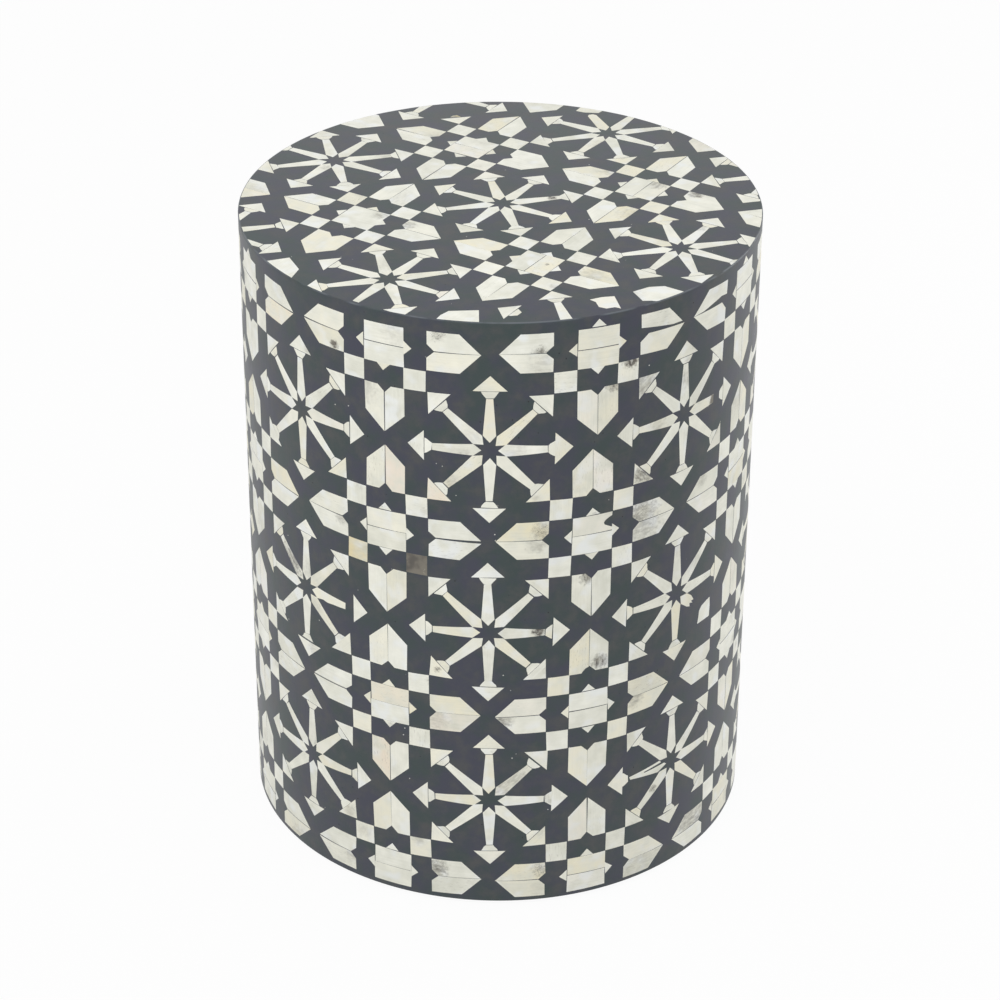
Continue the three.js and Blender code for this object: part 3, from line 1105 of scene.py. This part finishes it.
SIDE_LAID: dict[str, Point] = {
    "7 star 0": across_and_up(-1.5, -1.5),
    "7 star 1": across_and_up(-1.5, -1.8),
    "7 star 2": across_and_up(-1.2, -1.5),
    "7 star 3": across_and_up(-0.2, -0.2),
    "8 star 0": across_and_up(-0.7, -0.2),
    "8 star 1": across_and_up(-0.7, -0.2),
    "8 star 2": across_and_up(-0.2, -0.2),
    "8 star 3": across_and_up(0.5, 0.2),
    "1 star 0": across_and_up(1.0, 0.7),
    "1 star 1": across_and_up(-0.5, 0.2),
    "1 star 2": across_and_up(-0.5, -0.2),
    "1 star 3": across_and_up(0.2, -0.7),
    "2 star 0": across_and_up(1.0, 1.0),
    "2 star 1": across_and_up(1.2, 1.2),
    "2 star 2": across_and_up(0.7, 0.2),
    "7 compass 0": across_and_up(-0.7, -1.0),
    "7 compass 1": across_and_up(-1.0, -1.7),
    "7 compass 2": across_and_up(0.2, -0.7),
    "8 compass 0": across_and_up(0.0, -0.2),
    "8 compass 1": across_and_up(-0.2, -1.8),
    "8 compass 2": across_and_up(0.7, -0.5),
    "1 compass 0": across_and_up(0.5, 1.2),
    "1 compass 1": across_and_up(-0.5, 0.7),
    "1 compass 2": across_and_up(0.2, 0.7),
}
SEAT_LAID: dict[str, Point] = {
    "star -1 0": across_and_up(-0.2, -0.8),
    "star -1 -1": across_and_up(0.0, 0.3),
    "star 0 -1": across_and_up(-0.4, 0.0),
    "compass 0 0": across_and_up(0.0, -0.7),
    "compass 0 1": across_and_up(0.0, 0.7),
}

SIDE_QUIRKS: dict[str, Quirk] = {
    "8 star 0 block upper": Quirk(smudge=0.22, at_share=(0.4, 0.1), reach_share=0.7),
    "8 star 0 point N": LEFT_OUT,
    "8 star 0 house E upper": Quirk(smudge=0.45, specks=1.0, at_share=(-0.22, 0.26), reach_share=0.27),
    "8 star 0 house W lower": Quirk(smudge=1.6, specks=0.9, at_share=(-0.19, 0.17), reach_share=0.19),
    "8 star 1 square SE": Quirk(
        tone=-3.0, yellow=0.8, smudge=2.8, at_share=(0.2, 0.0), reach_share=2.8),
    "8 star 1 square SW": Quirk(tone=-1.2, yellow=0.9, pink=0.1, smudge=0.14, reach_share=2.0),
    "8 star 1 house N right": Quirk(pink=0.4),
    "8 star 1 house E upper": Quirk(shift=across_and_up(0.0, 0.3), turn=math.radians(0.7)),
    "8 star 1 house E lower": Quirk(shift=across_and_up(0.2, -0.4), turn=math.radians(-0.8)),
    "8 star 1 house W lower": Quirk(
        smudge=0.45, specks=0.2, at_share=(-0.29, -0.19), reach_share=0.3, turn=math.radians(-1.2)),
    "8 star 2 block upper": Quirk(yellow=0.25, pink=0.2),
    "8 star 2 point E": Quirk(yellow=0.6),
    "8 star 2 point W": Quirk(yellow=0.6),
    "8 star 2 square SE": Quirk(shift=across_and_up(0.0, -0.9)),
    "8 star 2 house E lower": Quirk(smudge=0.3, at_share=(-0.3, 0.0), reach_share=0.5),
    "8 star 2 house S left": Quirk(pink=0.4),
    "8 star 3 house E upper": Quirk(smudge=0.8, specks=0.6, at_share=(-0.34, 0.03), reach_share=0.42),
    "1 star 0 block lower": Quirk(outline=in_mm((-14, -14), (14, -14), (14, -0.76), (-14, -0.76))),
    "1 star 0 block upper": Quirk(outline=in_mm((-14, -0.4), (14, -0.4), (14, 14), (-14, 14))),
    "1 star 0 point E": Quirk(yellow=0.4),
    "1 star 0 point W": Quirk(yellow=0.4),
    "1 star 0 square SE": Quirk(smudge=1.5, at_share=(-0.72, 0.15), reach_share=0.75),
    "1 star 0 house E upper": Quirk(outline=in_mm(
        (30.4, 6.2), (55.2, 1.9), (63.7, 1.9), (52.0, 14.6), (30.1, 15.9))),
    "1 star 0 house E lower": Quirk(outline=in_mm(
        (29.7, -3.7), (30.0, -12.8), (50.7, -14.1), (65.2, 0.0), (36.0, 1.3))),
    "1 star 0 house S right": Quirk(yellow=0.25, smudge=1.2, at_share=(-0.54, 0.19), reach_share=0.3),
    "1 star 0 house W upper": Quirk(smudge=0.8, specks=0.9, at_share=(-0.13, 0.27), reach_share=0.28),
    "1 star 0 house W lower": Quirk(smudge=0.26, at_share=(-0.17, 0.11), reach_share=0.5),
    "1 star 1 block upper": Quirk(outline=in_mm(
        (-14, 0.18), (14, 0.18), (14, 2.4), (10.6, 4.2), (8.4, 5.4), (7.8, 6.9), (8.5, 8.0),
        (10.0, 9.3), (12.2, 10.5), (14, 11.2), (14, 14), (-14, 14))),
    "1 star 1 house E upper": Quirk(smudge=0.6, specks=0.6, at_share=(-0.23, -0.03), reach_share=0.75),
    "1 star 1 house E lower": Quirk(smudge=0.42, specks=0.2, at_share=(-0.2, 0.1), reach_share=0.9),
    "1 star 1 house S left": Quirk(smudge=1.0, at_share=(-0.38, 0.16), reach_share=0.32),
    "1 star 1 house W upper": Quirk(
        yellow=0.5, smudge=0.45, specks=0.9, at_share=(-0.33, 0.0), reach_share=0.4),
    "1 star 1 house W lower": Quirk(yellow=0.15, smudge=0.4, at_share=(-0.18, -0.16), reach_share=0.4),
    "1 star 2 house N left": Quirk(outline=in_mm(
        (33.6, 0.18), (62.8, 0.18), (49.1, 13.9), (29.3, 13.9), (29.3, 5.4), (30.6, 4.4), (32.4, 2.4))),
    "1 star 2 house N right": Quirk(
        tone=-0.6, smudge=1.0, specks=0.4, at_share=(-0.22, -0.03), reach_share=0.34),
    "1 star 2 house E upper": Quirk(tone=-0.4, smudge=0.12, reach_share=1.0),
    "1 star 2 house E lower": Quirk(yellow=0.3, smudge=0.5, at_share=(-0.29, 0.2), reach_share=0.42),
    "1 star 2 house W lower": Quirk(smudge=0.8, at_share=(0.75, -0.2), reach_share=0.4),
    "1 star 3 house E upper": Quirk(tone=0.3, smudge=0.05),
    "1 star 3 house E lower": Quirk(tone=-1.1, smudge=0.2, reach_share=1.1),
    "1 star 3 house W upper": Quirk(smudge=0.4, specks=0.9, at_share=(-0.36, -0.08), reach_share=0.34),
    "1 star 3 house W lower": Quirk(yellow=0.2, smudge=0.15, at_share=(-0.3, 0.0), reach_share=0.4),
    "2 star 0 house W upper": Quirk(outline=in_mm(
        (27.2, -3.9), (26.4, -14.0), (48.3, -15.2), (63.7, -1.0), (53.3, -1.1), (46.2, -2.7),
        (34.1, -4.9))),
    "2 star 0 house W lower": Quirk(outline=in_mm(
        (33.1, -0.3), (50.6, -0.8), (63.5, -0.8), (49.1, 13.5), (28.4, 14.7), (28.2, 5.5))),
    "2 star 3 house W upper": Quirk(smudge=0.6, reach_share=1.1),
    "7 compass 1 E arm": Quirk(outline=in_mm(
        (5.5, 0.0), (10.5, -4.2), (16.0, -3.3), (20.0, -3.7), (26.0, -3.2), (30.0, -3.0), (36.0, -2.6),
        (36.0, 2.3), (10.5, 4.2))),
    "7 compass 1 E collar": LEFT_OUT,
    "7 compass 1 E head": Quirk(shift=across_and_up(0.3, 0.5)),
    "7 compass 1 SE head": Quirk(size=1.08),
    "7 compass 1 S head": Quirk(size=1.1, shift=across_and_up(1.2, -1.0)),
    "7 compass 1 NW arm": Quirk(smudge=0.8, specks=0.3, reach_share=0.9),
    "8 compass 0 E head": Quirk(size=1.06),
    "8 compass 0 SW head": Quirk(pink=0.5, shift=across_and_up(-0.3, -0.3)),
    "8 compass 1 E arm": Quirk(smudge=1.5, specks=1.0, at_share=(0.74, 0.0), reach_share=0.32),
    "8 compass 1 E head": Quirk(size=1.05),
    "8 compass 1 SW head": Quirk(smudge=0.8, specks=0.8, reach_share=0.25),
    "8 compass 2 NE arm": Quirk(smudge=0.4, reach_share=1.2),
    "8 compass 2 NE head": Quirk(shift=across_and_up(0.5, 0.5)),
    "1 compass 0 E arm": Quirk(
        smudge=2.5, at_share=(1.0, 0.0), reach_share=0.5,
        outline=in_mm((5.5, 0.0), (10.5, -4.2), (30.5, -3.0), (30.5, 3.0), (10.5, 4.2))),
    "1 compass 0 SE arm": Quirk(yellow=0.1),
    "1 compass 0 SW head": Quirk(smudge=1.0, at_share=(0.1, 0.2), reach_share=0.9),
    "1 compass 0 NW head": Quirk(smudge=0.6, reach_share=1.2),
    "1 compass 1 NE arm": Quirk(smudge=0.22, at_share=(0.2, 0.1), reach_share=0.7),
    "1 compass 1 SE arm": Quirk(outline=in_mm(
        (5.5, 0.0), (10.5, -4.2), (18.6, -3.4), (21.4, -2.2), (19.6, -0.6), (22.6, 0.9), (20.2, 1.6),
        (21.8, 3.2), (17.0, 4.6), (10.5, 4.2))),
    "1 compass 1 SE collar": LEFT_OUT,
    "1 compass 1 SE head": Quirk(outline=in_mm(
        (41.3, 11.4), (38.7, 8.1), (35.4, 3.0), (35.0, -0.9), (37.7, -4.6), (40.7, -9.5),
        (46.4, -4.7), (51.5, 0.0), (46.1, 6.3))),
    "1 compass 2 S head": Quirk(turn=math.radians(5)),
    "1 compass 2 SW arm": Quirk(smudge=1.0, specks=0.9, at_share=(0.1, 0.0), reach_share=0.22),
    "1 compass 2 W arm": Quirk(outline=in_mm(
        (10.8, -4.4), (36.2, -0.8), (35.7, 2.0), (11.6, 4.8), (3.7, 1.0), (6.0, -1.1), (23.5, 0.5),
        (24.0, -0.3), (8.9, -2.6))),
    "1 compass 2 W head": Quirk(size=1.07, shift=across_and_up(0.4, -0.4)),
}

SEAT_QUIRKS: dict[str, Quirk] = {
    "star -1 -2 house N": Quirk(outline=in_mm(
        (48.8, 13.8), (62.1, 2.4), (51.2, -12.0), (33.0, -16.2), (40.5, 3.5))),
    "star -1 -1 block": Quirk(smudge=0.55, at_share=(0.45, 0.45), reach_share=0.35),
    "star -1 -1 house E upper": Quirk(yellow=0.1, smudge=0.6, at_share=(-0.36, 0.0), reach_share=0.36),
    "star -1 -1 house S": Quirk(yellow=0.3),
    "star -1 -1 house W lower": Quirk(yellow=0.3),
    "star 0 -2 house N left": LEFT_OUT,
    "star 0 -2 house N right": Quirk(outline=in_mm(
        (40.7, -19.0), (60.4, -6.3), (49.5, 9.3), (41.7, 10.5), (28.6, 9.0))),
    "star 0 -1 block right": Quirk(smudge=1.1, specks=0.5, at_share=(0.15, -0.03), reach_share=0.12),
    "star 0 -1 house W upper": Quirk(yellow=0.4),
    "star 0 0 block right": Quirk(smudge=0.6, at_share=(0.7, 0.1), reach_share=0.62),
    "star 0 0 house E": Quirk(smudge=1.2, specks=0.4, at_share=(-0.15, 0.46), reach_share=0.28),
    "star 0 0 house S right": Quirk(yellow=0.5),
    "star 1 -1 house W": Quirk(outline=in_mm(
        (60.1, 5.0), (55.3, -6.5), (47.6, -13.1), (33.3, -13.0), (35.2, -0.7), (40.9, 8.4), (44.4, 9.5),
        (48.6, 12.8))),
    "star 1 0 house W lower": Quirk(yellow=0.1),
    "compass -1 1 SE arm": LEFT_OUT,
    "compass -1 1 SE collar": Quirk(yellow=1.0, smudge=0.8, reach_share=1.5, size=0.65),
    "compass 0 -1 S arm": Quirk(yellow=0.05),
    "compass 0 -1 S collar": LEFT_OUT,
    "compass 0 -1 NW head": Quirk(yellow=0.2),
    "compass 0 0 NE arm": Quirk(smudge=1.6, at_share=(0.69, 0.0), reach_share=0.22),
    "compass 0 0 SE head": Quirk(yellow=0.1),
    "compass 0 1 NW arm": Quirk(outline=in_mm(
        (5.5, 0.0), (9.9, 4.8), (32.9, 6.7), (35.1, 5.4), (35.5, 1.9), (33.7, 0.1), (11.0, -3.6))),
    "compass 0 1 NW collar": LEFT_OUT,
    "compass 0 1 NW head": Quirk(outline=in_mm(
        (43.6, 12.8), (50.6, 7.0), (41.1, -7.1), (36.7, -2.0), (39.6, 7.2))),
    "compass 1 -1 N arm": LEFT_OUT,
    "compass 1 -1 N collar": LEFT_OUT,
    "compass 1 -1 N head": Quirk(yellow=0.05, outline=in_mm(
        (40.5, 10.4), (47.7, 5.7), (53.2, -0.5), (40.1, -12.6), (39.7, -8.7), (35.1, -4.6), (34.4, 0.6),
        (39.5, 5.6))),
    "compass 1 -1 W arm": LEFT_OUT,
    "compass 1 0 NW arm": Quirk(yellow=0.1),
}


@dataclass
class SideInlay:
    """The bone tiles round the drum: columns of stars with compasses between them."""

    finishes: Finishes
    columns: int = 8
    rows: int = 4
    row_pitch: float = 135.5 * MM
    first_drop: float = 22.9 * MM
    rim_band: float = 2.2 * MM
    foot_band: float = 2.4 * MM
    crumbs: Crumbs = Crumbs(4)
    strip: float = 4.5 * MM
    star: StarMotif = StarMotif()
    compass: CompassMotif = CompassMotif()
    hand: HandWork = HandWork("side")

    @property
    def column_pitch(self) -> float:
        """How far apart the star columns are, round the drum."""
        return math.tau * DRUM_RADIUS / self.columns

    def build(self) -> None:
        """Makes one piece for each column."""
        for column in range(1, self.columns + 1):
            self._column(column)

    def _column(self, column: int) -> None:
        """Makes the stars of one column and the compasses on their right."""
        sheet = TileSheet(self.hand, SIDE_QUIRKS)
        low, high = UNDERSIDE + self.foot_band, SEAT_LEVEL - self.rim_band
        for tile in self._tiles(column):
            heights = [turned_by(corner, tile.turn)[1] + tile.origin[1] for corner in tile.outline]
            if min(heights) > low and max(heights) < high:
                sheet.add(tile)
        sheet.scatter(str(column), self.crumbs)
        sheet.thicken()
        sheet.slice(self.strip)
        sheet.settle()
        self._bend(sheet.bm, (column - 0.5) * math.tau / self.columns)
        shade(sheet.bm)
        add_piece(f"bone_column_{column}", sheet.bm, self.finishes, "bone", [f"side_inlay_{column}"])

    def _star_spot(self, column: int, row: int) -> Point:
        """The middle of a star as laid, across from its own column's line and up from the floor."""
        name = (column - 1) % self.columns + 1
        drawn = (0.0, SEAT_LEVEL - self.first_drop - row * self.row_pitch)
        return moved_by(drawn, SIDE_LAID.get(f"{name} star {row}", (0.0, 0.0)))

    def _compass(self, column: int, row: int) -> list[Tile]:
        """Draws the compass on the right of a column, below a star's row."""
        stars = {
            Way.NW: self._star_spot(column, row),
            Way.SW: self._star_spot(column, row + 1),
            Way.NE: moved_by(self._star_spot(column + 1, row), (self.column_pitch, 0.0)),
            Way.SE: moved_by(self._star_spot(column + 1, row + 1), (self.column_pitch, 0.0)),
        }
        place = f"{column} compass {row}"
        drawn = (self.column_pitch / 2, SEAT_LEVEL - self.first_drop - (row + 0.5) * self.row_pitch)
        centre = moved_by(drawn, SIDE_LAID.get(place, (0.0, 0.0)))
        return self.compass.tiles(place, centre, self.star, stars)

    def _tiles(self, column: int) -> list[Tile]:
        """Draws one column's tiles, with its stars about zero across."""
        pitches = (self.column_pitch, self.row_pitch)
        tiles = []
        for row in range(self.rows):
            tiles += self.star.tiles(f"{column} star {row}", self._star_spot(column, row), pitches)
        for row in range(self.rows - 1):
            tiles += self._compass(column, row)
        return tiles

    @staticmethod
    def _bend(bm: bmesh.types.BMesh, angle: float) -> None:
        """Bends a flat sheet round the drum.

        Args:
            bm: The sheet, its face at zero.
            angle: Where its middle goes, from the front towards +X.
        """
        for vert in bm.verts:
            turn = angle + vert.co.x / DRUM_RADIUS
            radius = DRUM_RADIUS + vert.co.z
            vert.co = (radius * math.sin(turn), -radius * math.cos(turn), vert.co.y)


@dataclass
class SeatInlay:
    """The bone tiles of the seat: the same pattern, square, turned, and cut off at the rim."""

    finishes: Finishes
    east_step: Point = (133.8 * MM, 1.9 * MM)
    north_step: Point = (1.9 * MM, 137.0 * MM)
    offset: Point = (0.4 * MM, 2.4 * MM)
    turn: float = math.radians(-29.3)
    border: float = 0.7 * MM
    crumbs: Crumbs = Crumbs(7)
    motifs: range = range(-2, 3)
    rim_cuts: int = 144
    least_bit: float = 4.0 * MM * MM
    star: StarMotif = StarMotif(seam=0.28 * MM, whole_houses=frozenset({
        "star -1 -2 house N", "star -1 -1 house S", "star -1 0 house E", "star -1 1 house S",
        "star 0 0 house E", "star 0 1 house S", "star 1 -1 house W",
    }))
    compass: CompassMotif = CompassMotif()
    hand: HandWork = HandWork("seat")
    blocks: dict[tuple[int, int], Seam] = field(default_factory=lambda: {
        (-1, 0): Seam.LEVEL, (0, 0): Seam.UPRIGHT, (-1, -1): Seam.WHOLE, (0, -1): Seam.UPRIGHT,
    })

    def build(self) -> None:
        """Makes the seat's piece."""
        sheet = TileSheet(self.hand, SEAT_QUIRKS)
        radius = DRUM_RADIUS - self.border
        for tile in self._tiles():
            corners = [moved_by(turned_by(corner, tile.turn), tile.origin) for corner in tile.outline]
            if min(math.hypot(*corner) for corner in corners) < radius:
                sheet.add(tile)
        sheet.scatter("seat", self.crumbs)
        sheet.trim(radius, self.rim_cuts, self.least_bit)
        sheet.thicken()
        sheet.settle()
        place = Matrix.Translation((0, 0, SEAT_LEVEL)) @ Matrix.Rotation(self.turn, 4, "Z")
        bmesh.ops.transform(sheet.bm, matrix=place, verts=sheet.bm.verts)
        shade(sheet.bm)
        add_piece("bone_seat", sheet.bm, self.finishes, "bone", ["seat_inlay"])

    def _spot(self, place: str, across: float, up: float) -> Point:
        """The middle of a motif as laid, from how many pitches it lies across and up."""
        east, north = self.east_step, self.north_step
        drawn = (across * east[0] + up * north[0], across * east[1] + up * north[1])
        return moved_by(moved_by(drawn, self.offset), SEAT_LAID.get(place, (0.0, 0.0)))

    def _star_spot(self, column: int, row: int) -> Point:
        """The middle of a star as laid."""
        return self._spot(f"star {column} {row}", column + 0.5, row + 0.5)

    def _tiles(self) -> list[Tile]:
        """Draws the tiles of every star and compass that the seat could hold."""
        pitches = (self.east_step[0], self.north_step[1])
        tiles = []
        for column in self.motifs:
            for row in self.motifs:
                place = f"compass {column} {row}"
                stars = {
                    Way.NE: self._star_spot(column, row), Way.NW: self._star_spot(column - 1, row),
                    Way.SW: self._star_spot(column - 1, row - 1), Way.SE: self._star_spot(column, row - 1),
                }
                tiles += self.compass.tiles(place, self._spot(place, column, row), self.star, stars)
                block = self.blocks.get((column, row), Seam.LEVEL)
                centre = self._star_spot(column, row)
                tiles += self.star.tiles(f"star {column} {row}", centre, pitches, block)
        return tiles


@dataclass
class FillerCoat:
    """The filler over the drum's side and seat, a hair lower than the bone tiles in it."""

    finishes: Finishes
    sink: float = 0.06 * MM
    rim_radius: float = 0.6 * MM
    rim_wave: float = 0.1 * MM
    rim_waves: tuple[int, ...] = (7, 17, 31)
    foot_arris: float = 0.4 * MM
    segments: int = 320
    rim_steps: int = 5

    def build(self) -> None:
        """Makes the coat of the side and the coat of the seat."""
        outer = DRUM_RADIUS - self.sink
        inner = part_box("skin_front")[1].x
        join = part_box("seat_filler")[0].z
        top = SEAT_LEVEL - self.sink
        side = [
            (inner, UNDERSIDE), (outer - self.foot_arris, UNDERSIDE),
            (outer, UNDERSIDE + self.foot_arris), (outer, join), (inner, join),
        ]
        rim = quarter_round((outer - self.rim_radius, top - self.rim_radius), self.rim_radius,
                            self.rim_steps)
        seat = [(0.0, join), (outer, join), *rim, (0.0, top)]
        for name, profile in (("side_filler", side), ("seat_filler", seat)):
            bm = turned(profile, self.segments)
            if name == "seat_filler":
                self._rub_rim(bm, outer, top)
            shade(bm)
            add_piece(f"{name}_coat", bm, self.finishes, "filler", [name])

    def _rub_rim(self, bm: bmesh.types.BMesh, outer: float, top: float) -> None:
        """Makes the rim slightly uneven, as if sanded by hand, half as much down as inwards.

        Args:
            bm: The coat of the seat.
            outer: Its radius.
            top: Its level.
        """
        luck = random.Random("rim")
        waves = [(count, luck.uniform(0.0, math.tau)) for count in self.rim_waves]
        for vert in bm.verts:
            radius = math.hypot(vert.co.x, vert.co.y)
            if radius < outer - 2 * self.rim_radius or vert.co.z < top - self.rim_radius + WELD:
                continue
            bearing = math.atan2(vert.co.y, vert.co.x)
            wave = sum(math.sin(count * bearing + phase) for count, phase in waves) / len(waves)
            inward = self.rim_wave * (1 + wave) / 2
            vert.co.x *= 1 - inward / radius
            vert.co.y *= 1 - inward / radius
            vert.co.z -= inward / 2


@dataclass
class Carcass:
    """The timber, screws and glides that the CAD model already shapes."""

    finishes: Finishes

    def build(self) -> None:
        """Dresses every CAD node by its material slot in the record."""
        for row in frame["record"]["subparts"]:
            self.finishes.dress(frame["nodes"][row["node"]], row["material_slot"])


# Studio

@dataclass(frozen=True)
class Lamp:
    """A large square soft light that faces the stool."""

    name: str
    azimuth: float
    elevation: float
    power: float
    distance: float = 1.5
    size: float = 1.2

    def build(self, height: float) -> None:
        """Hangs the light, aimed at the drum's axis at a height."""
        light = bpy.data.lights.new(self.name, "AREA")
        light.shape = "SQUARE"
        light.size = self.size
        light.energy = self.power
        lamp = bpy.data.objects.new(self.name, light)
        out = Vector((
            math.sin(self.azimuth) * math.cos(self.elevation),
            -math.cos(self.azimuth) * math.cos(self.elevation),
            math.sin(self.elevation),
        ))
        lamp.location = out * self.distance + Vector((0, 0, height))
        lamp.rotation_euler = out.to_track_quat("Z", "Y").to_euler()
        bpy.context.scene.collection.objects.link(lamp)


@dataclass
class Studio:
    """A white floor, even white surroundings, two large soft lights and the camera."""

    floor_size: float = 40.0
    floor_colour: Colour = colour(226, 226, 226)
    floor_glow_share: float = 0.95
    surround: float = 0.78
    key: Lamp = Lamp("key", azimuth=math.radians(-24), elevation=math.radians(46), power=7.2)
    side: Lamp = Lamp(
        "side", azimuth=math.radians(118), elevation=math.radians(12), power=4.5, size=0.8)
    lens: float = 114.809
    sensor: float = 36.0
    elevation: float = math.radians(30.065)
    azimuth: float = math.radians(2.018)
    roll: float = math.radians(0.314)
    distance: float = 2.2399
    slide: Point = (0.00071, -0.00711)
    target_height: float = 0.22994

    def build(self) -> None:
        """Makes the whole studio and sets how colours are shown."""
        self._floor()
        self._world()
        self.key.build(self.target_height)
        self.side.build(self.target_height)
        self._camera()
        bpy.context.scene.view_settings.view_transform = "Standard"

    def _floor(self) -> None:
        """A wide floor, lifted to white where it is seen, that keeps the stool's shadow."""
        bm = bmesh.new()
        bmesh.ops.create_grid(bm, x_segments=1, y_segments=1, size=self.floor_size / 2)
        mesh = bpy.data.meshes.new("floor")
        bm.to_mesh(mesh)
        bm.free()
        floor = bpy.data.objects.new("floor", mesh)
        bpy.context.scene.collection.objects.link(floor)
        paint, made = Paint.material("floor")
        matt = paint.node("ShaderNodeBsdfDiffuse", None, {"Color": self.floor_colour})
        glow = paint.node("ShaderNodeEmission", None, {"Color": WHITE, "Strength": 1.0})
        share = paint.seen() * self.floor_glow_share
        paint.finish(paint.node("ShaderNodeMixShader", None, {0: share, 1: matt, 2: glow}))
        mesh.materials.append(made)

    def _world(self) -> None:
        """White surroundings as seen and reflected, and an even light from all sides."""
        world = bpy.data.worlds.new("surroundings")
        world.use_nodes = True
        bpy.context.scene.world = world
        paint = Paint(world.node_tree)
        light = paint.node("ShaderNodeBackground", None, {"Color": WHITE, "Strength": self.surround})
        shown = paint.node("ShaderNodeBackground", None, {"Color": WHITE, "Strength": 1.0})
        mixed = paint.node("ShaderNodeMixShader", None, {0: paint.seen(), 1: light, 2: shown})
        paint.node("ShaderNodeOutputWorld", None, {"Surface": mixed})

    def _camera(self) -> None:
        """The camera at the photograph's angle and distance."""
        data = bpy.data.cameras.new("camera")
        data.lens = self.lens
        data.sensor_width = self.sensor
        camera = bpy.data.objects.new("camera", data)
        ahead = Vector((0, math.cos(self.elevation), -math.sin(self.elevation)))
        level = Vector((1, 0, 0))
        upright = level.cross(ahead)
        right = level * math.cos(self.roll) + upright * math.sin(self.roll)
        up = upright * math.cos(self.roll) - level * math.sin(self.roll)
        spot = Vector((0, 0, self.target_height)) - ahead * self.distance
        spot += right * self.slide[0] + up * self.slide[1]
        pose = Matrix((right, up, -ahead)).transposed().to_4x4()
        pose.translation = spot
        camera.matrix_world = Matrix.Rotation(self.azimuth, 4, "Z") @ pose
        bpy.context.scene.collection.objects.link(camera)
        bpy.context.scene.camera = camera


def main() -> None:
    """Builds the stool and its studio."""
    logging.basicConfig(level=logging.INFO, format="%(message)s")
    finishes = Finishes()
    Studio().build()
    Carcass(finishes).build()
    FillerCoat(finishes).build()
    SideInlay(finishes).build()
    SeatInlay(finishes).build()


if __name__ == "__main__":
    main()
